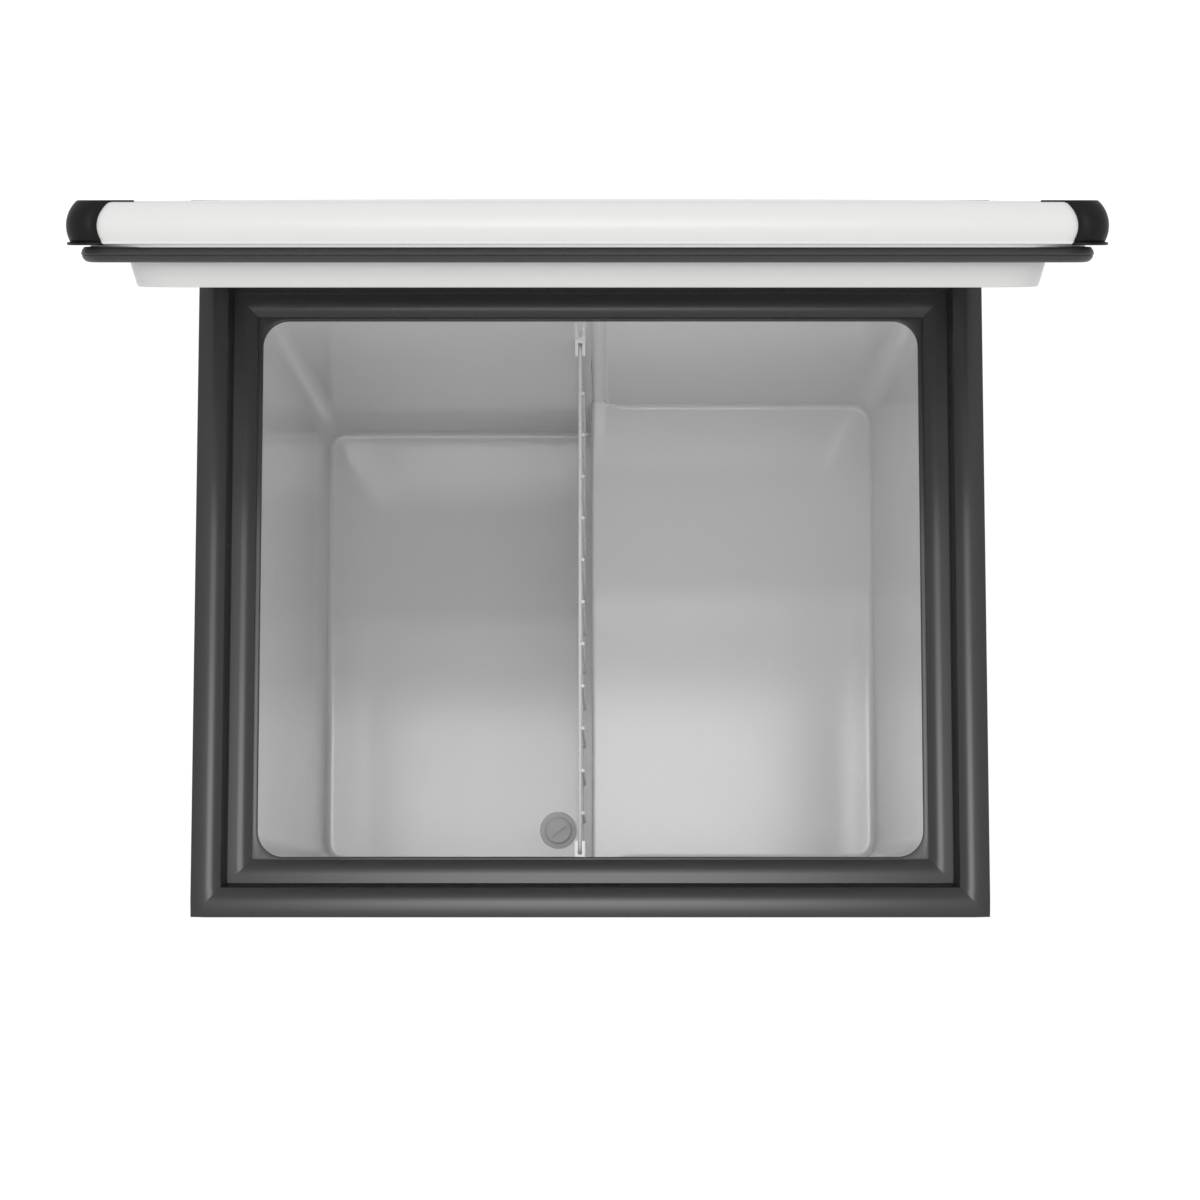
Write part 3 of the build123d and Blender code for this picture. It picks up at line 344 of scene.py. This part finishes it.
# One half of the plan, from the middle of the rear wall round to the middle of the front wall:
# points, inward directions and how much of the floor fillet each takes
def halfOutline(side, halfWidth, halfDepth, radius, groove):
    t = linerTub
    along = np.array([1, 2, 3])
    beyond = np.concatenate([np.array([16, 22, 30, 40, 60]), np.linspace(90, halfWidth - radius, 4)])
    if groove:
        edge = t["grooveWidth"]
        x = np.concatenate([[0, 0], along, [edge, edge], beyond])
        y = halfDepth + np.concatenate([[0], np.full(5, t["grooveDepth"]), np.zeros(len(beyond) + 1)])
    else:
        x = np.concatenate([[0], along, beyond])
        y = np.full(len(x), halfDepth)
    rear = np.column_stack([x, y])
    rearIn = np.tile([0.0, -1.0], (len(rear), 1))
    angle = np.radians(np.linspace(90, 0, 13))[1:]
    arcIn = -np.column_stack([np.cos(angle), np.sin(angle)])
    arc = np.array([halfWidth - radius, halfDepth - radius]) - radius * arcIn
    quarter, quarterIn = np.concatenate([rear, arc]), np.concatenate([rearIn, arcIn])
    middle = np.column_stack([np.full(5, halfWidth), np.linspace(0.6, -0.6, 5) * (halfDepth - radius)])
    middleIn = np.tile([-1.0, 0.0], (5, 1))
    flip = np.array([1, -1])
    outline = np.concatenate([quarter, middle, (quarter * flip)[::-1]])
    inward = np.concatenate([quarterIn, middleIn, (quarterIn * flip)[::-1]])
    share = np.clip((outline[:, 0] - t["filletFrom"]) / t["filletOver"], 0, 1)
    return outline * (side, 1), inward * (side, 1), share * share * (3 - 2 * share)


# Wall rows: each point drops to its floor height, leaning in by the draft and rounding into the floor
def halfWalls(outline, inward, share, top, floor, extraRows=()):
    t = linerTub
    angle = np.radians(np.linspace(0, 90, 7))[:, None]
    fillet = floor + t["floorFillet"] * share * (1 - np.sin(angle))
    rows = [np.full(len(outline), top), np.full(len(outline), top)]
    rows += [np.maximum(level, fillet[0]) for level in extraRows]
    height = np.concatenate([np.array(rows), fillet])
    lean = np.tan(np.radians(t["draft"])) * (top - height)
    lean[0] = -t["flange"]
    lean[-len(fillet):] += t["floorFillet"] * share * (1 - np.cos(angle))
    flat = outline + inward * lean[..., None]
    return np.dstack([flat, height])


# Floor rows shrink from the wall's foot towards a pole, or towards a round hole about it
def floorFan(edge, pole, hole=0.0, rows=5):
    way = edge[:, :2] - pole
    rimPoint = pole + hole * way / np.linalg.norm(way, axis=1)[:, None]
    t = np.concatenate([[1, 0.985, 0.96], np.linspace(0.9, 0.1, rows), [0.01, 0]])
    t = t[:, None, None]  # close rows at both ends keep the shading flat between them
    flat = rimPoint + (edge[:, :2] - rimPoint) * t
    return np.dstack([flat, np.tile(edge[:, 2], (len(t), 1))])


# Both halves' walls, their floors and the step between them are grids that meet point for point
def makeLinerTub():
    t = linerTub
    top = linerHigh.z / mm
    deep = linerLow.z / mm + t["wall"]
    raised = deep + t["raisedAbove"]
    halfWidth = (linerHigh.x - linerLow.x) / 2 / mm - t["flange"]
    halfDepth = (linerHigh.y - linerLow.y) / 2 / mm - t["flange"]
    middle = np.array([0, (linerHigh.y + linerLow.y) / 2 / mm, 0])
    rounding = t["stepRound"]
    surfaces = []
    # right half, whose floor rolls over the step's edge
    outline, inward, share = halfOutline(1, halfWidth, halfDepth, t["radius"], True)
    short = np.clip(rounding - outline[:, 0], 0, rounding)
    floor = raised - (rounding - np.sqrt(rounding ** 2 - short ** 2))
    walls = halfWalls(outline, inward, share, top, floor)
    surfaces.append((walls, gridFaces(*walls.shape[:2])))
    foot = walls[-1][outline[:, 0] >= rounding]
    pole = np.array([t["raisedPole"], 0.0])
    fan = floorFan(foot, pole)
    surfaces.append((fan, gridFaces(*fan.shape[:2])))
    closing = floorFan(np.array([foot[-1], foot[0]]), pole)
    surfaces.append((closing, gridFaces(*closing.shape[:2])))
    # left half, whose floor goes round the drain hole
    outline, inward, share = halfOutline(-1, halfWidth, halfDepth, t["radius"], False)
    share = np.clip((-outline[:, 0] - t["filletFromLeft"]) / t["filletOver"], 0, 1)
    share = share * share * (3 - 2 * share)
    walls = halfWalls(outline, inward, share, top, np.full(len(outline), deep), (raised - rounding,))
    surfaces.append((walls, gridFaces(*walls.shape[:2])))
    foot = walls[-1]
    across = np.linspace(foot[-1], foot[0], t["stepColumns"])
    drainLow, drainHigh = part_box("drain_seat")
    drain = np.array([drainLow.x + drainHigh.x, drainLow.y + drainHigh.y]) / 2 / mm - middle[:2]
    whole = np.concatenate([foot, across[1:]])
    fan = floorFan(whole, drain, t["drainHole"])
    surfaces.append((fan, gridFaces(*fan.shape[:2])))
    # step between the floors: a quarter round at the top edge, then straight down
    reach = halfDepth + t["grooveDepth"] - np.tan(np.radians(t["draft"])) * (top - raised)
    inner = walls[2][0][1]
    along = np.linspace(-inner, inner, t["stepColumns"])
    columns = np.concatenate([[-reach], along, [reach]])
    roll = np.linspace(rounding, 0, 4)
    rollHeight = raised - (rounding - np.sqrt(rounding ** 2 - (rounding - roll) ** 2))
    rollGrid = np.dstack([np.tile(roll[:, None], (1, len(columns))), np.tile(columns, (len(roll), 1)),
                          np.tile(rollHeight[:, None], (1, len(columns)))])
    surfaces.append((rollGrid, gridFaces(*rollGrid.shape[:2])))
    edge = np.column_stack([np.zeros(len(along)), along, np.full(len(along), raised - rounding)])
    drop = np.array([edge, across])
    surfaces.append((drop, gridFaces(*drop.shape[:2])))
    surfaces = [(points + middle, faces) for points, faces in surfaces]
    piece = meshPiece("linerTub", surfaces, "vacuumFormedPolystyreneGrey", crease=38)
    faceTowards(piece, (0, middle[1] * mm, rimZ))
    thickness = piece.modifiers.new("wall", "SOLIDIFY")
    thickness.thickness = t["wall"] * mm
    thickness.offset = -1
    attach(piece, "cabinet")
    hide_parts("inner_liner")


# Turns an open surface round if most of it looks away from the point
def faceTowards(piece, point):
    mesh = piece.data
    normal, centre = np.empty(len(mesh.polygons) * 3), np.empty(len(mesh.polygons) * 3)
    mesh.polygons.foreach_get("normal", normal)
    mesh.polygons.foreach_get("center", centre)
    towards = np.array(point) - centre.reshape(-1, 3)
    if (normal.reshape(-1, 3) * towards).sum() < 0:
        mesh.flip_normals()


makeLinerTub()
print("liner tub made")


# Lid, drawn closed in millimetres and then turned open about its hinge
lidBody = dict(
    halfWidth=305, halfDepth=256, underside=11.6, skin=24.2, crown=1.6, barrel=20, belly=10,
    corner=14, capWall=1.5)
lidPanel = dict(
    inset=7, strip=2.3, corner=70, squareness=3.2, plugInset=29.5, gasket=9, plugEnd=26.4, lean=3.9,
    endRound=1.5, recessInset=26, recess=2.2, recessSlope=5)
lidSeal = dict(inset=7, width=20, height=8.9, corner=22)
lidMiddle = np.array([0, (frameHigh.y + frameLow.y) / 2 / mm, 0])
lidUnder = rimZ / mm + lidBody["underside"]


# A turn about the hinge line by the joint's own range
def openLid(points):
    turn = math.radians(-lidHinge["range_deg"][0])
    y, z = points[..., 1] - hingeY / mm, points[..., 2] - hingeZ / mm
    opened = points.copy()
    opened[..., 1] = hingeY / mm + y * math.cos(turn) + z * math.sin(turn)
    opened[..., 2] = hingeZ / mm - y * math.sin(turn) + z * math.cos(turn)
    return opened


# How far the barrel-shaped side has come in at a height above the lid's underside
def barrelInset(height):
    b = lidBody
    return b["barrel"] - np.sqrt(b["barrel"] ** 2 - (height - b["belly"]) ** 2)


# Rings from inset and height pairs, about the lid's corner centres
def lidRings(profile, steps=9, corner=None, squareness=2.0):
    b = lidBody
    section = np.array(profile, float)
    radius = corner or b["corner"]
    centre = (b["halfWidth"] - radius, b["halfDepth"] - radius)
    return ringSurface(b["halfWidth"] - section[:, 0], b["halfDepth"] - section[:, 0],
                       lidUnder + section[:, 1], np.full(len(section), squareness), centre, steps)


# Rows from a ring in to its middle; height rises by the crown as one minus the square of the way out
def crownRows(ring, crown, steps=11):
    t = np.concatenate([np.linspace(1, 0.9, 4), np.linspace(0.8, 0, steps)])[:, None, None]
    flat = ring[None, :, :2] * t
    height = ring[None, :, 2:] + crown * (1 - t ** 2)
    return np.concatenate([flat, np.broadcast_to(height, flat.shape[:2] + (1,))], axis=2)


# Opens the surfaces with the lid and makes one piece that stands for the named nodes
def lidPiece(name, surfaces, finish, nodes, crease=32):
    opened = [(openLid(points + lidMiddle), faces) for points, faces in surfaces]
    piece = meshPiece(name, opened, finish, crease)
    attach(piece, "lid")
    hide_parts(*nodes)
    return piece


# Rings of the barrel-shaped side, from the rolled lower lip to the edge of the skin, then the crowned skin
def makeLidShell():
    b = lidBody
    height = np.linspace(0, b["skin"] - 1.0, 17)
    side = list(zip(b["capWall"] + barrelInset(height), height))
    inset, level = side[-1]
    edge = [(inset + 0.8, level + 0.6), (inset + 2.0, b["skin"] - 0.1), (inset + 3.5, b["skin"])]
    lip = [(b["capWall"] + 4.6, 0), (b["capWall"] + 2.4, -0.3), (b["capWall"] + 1.6, -0.3),
           (b["capWall"] + 1.2, 0.1), (b["capWall"] + 1.6, 0.7)]
    rings = lidRings(lip + side[1:] + edge)
    skin = crownRows(rings[-1], b["crown"])
    shell = np.concatenate([rings, skin[1:]])
    lidPiece("lidShell", [(shell, gridFaces(*shell.shape[:2], False, True))],
             "polishedMouldAbsWhite", ["lid_shell", "lid_foam"])


# Flange strip, leaning plug with a rounded end, and a shallow recess in its face
def makeLidPanel():
    p = lidPanel
    strip = [(p["inset"], 0), (p["inset"], -p["strip"] + 0.4), (p["inset"] + 0.4, -p["strip"])]
    foot = p["strip"] + p["gasket"]
    plug = [(p["plugInset"], -p["strip"]), (p["plugInset"], -foot)]
    end = p["plugInset"] + p["lean"]
    plug += [(end - 0.3, -p["plugEnd"] + p["endRound"])]
    plug += sectionArc(end + p["endRound"] - 0.2, -p["plugEnd"] + p["endRound"], p["endRound"], 190, 270, 6)
    rail = end + p["recessInset"]
    plug += [(rail - 0.6, -p["plugEnd"]), (rail, -p["plugEnd"] + 0.2)]
    plug += [(rail + p["recessSlope"] - 0.8, -p["plugEnd"] + p["recess"] - 0.2),
             (rail + p["recessSlope"], -p["plugEnd"] + p["recess"])]
    rings = lidRings(strip + plug, corner=p["corner"], squareness=p["squareness"])
    face = crownRows(rings[-1], 0.0)
    back = crownRows(rings[0], 0.0)[::-1]
    panel = np.concatenate([back[:-1], rings, face[1:]])
    lidPiece("lidPanel", [(panel, gridFaces(*panel.shape[:2], False, True))],
             "polishedMouldAbsWhite", ["lid_inner_panel"])


# Seal section: a soft bulb with a waist line, seen from the panel's flange down
def makeLidSeal():
    s = lidSeal
    top = -lidPanel["strip"]
    outside = [(1.8, 0), (0.5, -1.8), (0.0, -3.8), (0.2, -4.4), (0.7, -4.7), (0.5, -5.1), (0.9, -6.3),
               (2.2, -7.9), (3.6, -8.6), (5.3, -s["height"])]
    inside = [(s["width"] - x, z) for x, z in outside[::-1]]
    section = [(s["inset"] + x, top + z) for x, z in outside + inside]
    rings = lidRings(section, corner=s["corner"])
    lidPiece("lidSeal", [(rings, gridFaces(*rings.shape[:2], True, True))],
             "extrudedEpdmSeal", ["lid_gasket"])


# Cap over one lid corner: the lid's own side profile one wall further out, with a wider web on top
lidCap = dict(reach=20, web=33, flangeUp=0.7, flangeDown=1.0, flangeOut=0.3, wall=1.45, steps=13)


# Skirt and web for the corner at +X +Y, mirrored to the others, then given its wall
def makeLidCap(sideX, sideY, node):
    b, c = lidBody, lidCap
    height = np.linspace(0.9, b["skin"] - 0.6, 17)
    side = list(zip(barrelInset(height), height))
    rows = [(3.2, -c["flangeDown"]), (c["flangeOut"] + 0.3, -c["flangeDown"]),
            (c["flangeOut"], -c["flangeDown"] + 0.3), (c["flangeOut"], c["flangeUp"] - 0.3),
            (c["flangeOut"] + 0.5, c["flangeUp"])] + side
    inset, level = side[-1]
    rows += [(inset + 0.7, level + 0.7), (inset + 1.6, b["skin"] + 0.7), (inset + 2.6, b["skin"] + 0.8)]
    section = np.array(rows)
    skirt = cornerSheet(section, c["reach"], c["steps"])
    outer = cornerSheet(section[-1:], c["web"], c["steps"] + 4)[0]
    innerPoint = np.array([b["halfWidth"] - c["web"], b["halfDepth"] - c["web"], outer[0, 2]])
    t = np.linspace(0, 1, 5)[:, None, None]
    web = outer[None] + (innerPoint - outer[None]) * t
    flip = np.array([sideX, sideY, 1])
    sheets = [(skirt * flip, gridFaces(*skirt.shape[:2])), (web * flip, gridFaces(*web.shape[:2]))]
    name = "lidCap" + ("Left" if sideX < 0 else "Right") + ("Front" if sideY < 0 else "Rear")
    piece = lidPiece(name, sheets, "etchedMouldAbsBlack", [node])
    turned = openLid(np.array([[0.0, 0.0, lidUnder - 5]]) + lidMiddle)[0]
    faceTowards(piece, turned * mm)
    piece.data.flip_normals()
    thickness = piece.modifiers.new("wall", "SOLIDIFY")
    thickness.thickness = c["wall"] * mm
    thickness.offset = -1


# Rows of a section round one corner: along one side for the reach, round the arc, and along the other
def cornerSheet(section, reach, steps):
    b = lidBody
    angle = np.linspace(0, math.pi / 2, steps)
    centreX, centreY = b["halfWidth"] - b["corner"], b["halfDepth"] - b["corner"]
    radius = (b["corner"] - section[:, 0])[:, None]
    arc = np.dstack([centreX + radius * np.cos(angle), centreY + radius * np.sin(angle)])
    start = np.dstack([centreX + radius, np.full_like(radius, b["halfDepth"] - reach) - section[:, :1]])
    finish = np.dstack([np.full_like(radius, b["halfWidth"] - reach) - section[:, :1], centreY + radius])
    flat = np.concatenate([start, arc, finish], axis=1)
    height = np.tile(lidUnder + section[:, 1:], (1, flat.shape[1]))
    return np.dstack([flat, height])


makeLidShell()
makeLidPanel()
makeLidSeal()
for end, sideY in (("front", -1), ("rear", 1)):
    for side, sideX in (("left", -1), ("right", 1)):
        makeLidCap(sideX, sideY, "lid_cap_" + end + "_" + side)
print("lid made")


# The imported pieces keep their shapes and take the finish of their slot
for nodeName, node in frame["nodes"].items():
    node.data.materials.clear()
    node.data.materials.append(materials[finishOfSlot[slotOfNode[nodeName]]])
print("packed pieces finished:", len(frame["nodes"]))


# Studio: pale floor that sweeps up into a round wall, two soft boxes overhead, even sky
studio = dict(
    floorRadius=4.5, bend=1.5, wallTop=5.0, floorColour="#f2f2f2", viewWhite=1.2, viewShare=0.7,
    sky=0.9, boxHeight=2.6,
    keyBox=dict(x=(-0.438, 0.386), y=(-0.45, 0.153), radiance=6.0),
    rearBox=dict(x=(-0.438, 0.386), y=(0.318, 0.547), radiance=3.2))


# Profile turned round the upright axis: flat, then a quarter round, then straight up
def makeBackdrop():
    s = studio
    low = cadBox[0][2]
    angle = np.linspace(0, math.pi / 2, 9)
    swept = s["floorRadius"] + s["bend"] * np.sin(angle)
    radius = np.concatenate([[0, 1, 2.5], swept, swept[-1:]])
    height = low + np.concatenate([[0, 0, 0], s["bend"] * (1 - np.cos(angle)), [s["wallTop"]]])
    around = np.linspace(0, 2 * math.pi, 65)[:-1]
    grid = np.dstack([radius[:, None] * np.cos(around), radius[:, None] * np.sin(around),
                      np.tile(height[:, None], (1, 64))]) / mm
    faces = gridFaces(*grid.shape[:2], False, True)
    floor = meshPiece("studioFloor", [(grid, faces)], "etchedMouldAbsGrey", 60)
    faceTowards(floor, (0, 0, 3.0))
    floor.data.materials.clear()
    floor.data.materials.append(makeFloorPaint())


# Matt paint that the eye, gloss and glass see close to white, while it lights the object as plain paint
def makeFloorPaint():
    material = bpy.data.materials.new("mattStudioPaint")
    material.use_nodes = True
    tree = material.node_tree
    tree.nodes.clear()
    path = addNode(tree, "ShaderNodeLightPath")
    seen = path.outputs["Is Camera Ray"]
    for ray in ("Is Glossy Ray", "Is Transmission Ray"):
        either = addNode(tree, "ShaderNodeMath", {0: seen, 1: path.outputs[ray]}, operation="MAXIMUM")
        seen = either.outputs[0]
    share = addNode(tree, "ShaderNodeMath", {0: seen, 1: studio["viewShare"]}, operation="MULTIPLY")
    paint = addNode(tree, "ShaderNodeBsdfDiffuse", {"Color": hexColour(studio["floorColour"])})
    white = addNode(tree, "ShaderNodeEmission", {"Strength": studio["viewWhite"]})
    both = addNode(tree, "ShaderNodeMixShader",
                   {0: share.outputs[0], 1: paint.outputs[0], 2: white.outputs[0]})
    addNode(tree, "ShaderNodeOutputMaterial", {"Surface": both.outputs[0]})
    return material


# An even rectangle of light: its power is the radiance times pi times its area
def makeSoftBox(name, x, y, radiance):
    light = bpy.data.lights.new(name, "AREA")
    light.shape = "RECTANGLE"
    light.size, light.size_y = x[1] - x[0], y[1] - y[0]
    light.energy = radiance * math.pi * light.size * light.size_y
    lamp = bpy.data.objects.new(name, light)
    lamp.location = (sum(x) / 2, sum(y) / 2, rimZ + studio["boxHeight"])
    bpy.context.scene.collection.objects.link(lamp)


# The same white from every side
def makeSky():
    world = bpy.data.worlds.new("studioSky")
    world.use_nodes = True
    world.node_tree.nodes["Background"].inputs["Color"].default_value = (1, 1, 1, 1)
    world.node_tree.nodes["Background"].inputs["Strength"].default_value = studio["sky"]
    bpy.context.scene.world = world


# The view from overhead, leaning a few degrees towards the hinges
overhead = dict(x=0.0073, y=-0.2340, aboveRim=2.1258, lean=5.937, lens=84.61, sensor=36, farthest=50)


def makeCamera():
    c = overhead
    lens = bpy.data.cameras.new("overheadCamera")
    lens.sensor_width, lens.lens = c["sensor"], c["lens"]
    lens.clip_end = c["farthest"]
    camera = bpy.data.objects.new("overheadCamera", lens)
    camera.location = (c["x"], c["y"], rimZ + c["aboveRim"])
    camera.rotation_euler = (math.radians(c["lean"]), 0, 0)
    bpy.context.scene.collection.objects.link(camera)
    bpy.context.scene.camera = camera


makeBackdrop()
makeSoftBox("keyBox", **studio["keyBox"])
makeSoftBox("rearBox", **studio["rearBox"])
makeSky()
makeCamera()
bpy.context.scene.view_settings.view_transform = "Standard"
print("studio made")
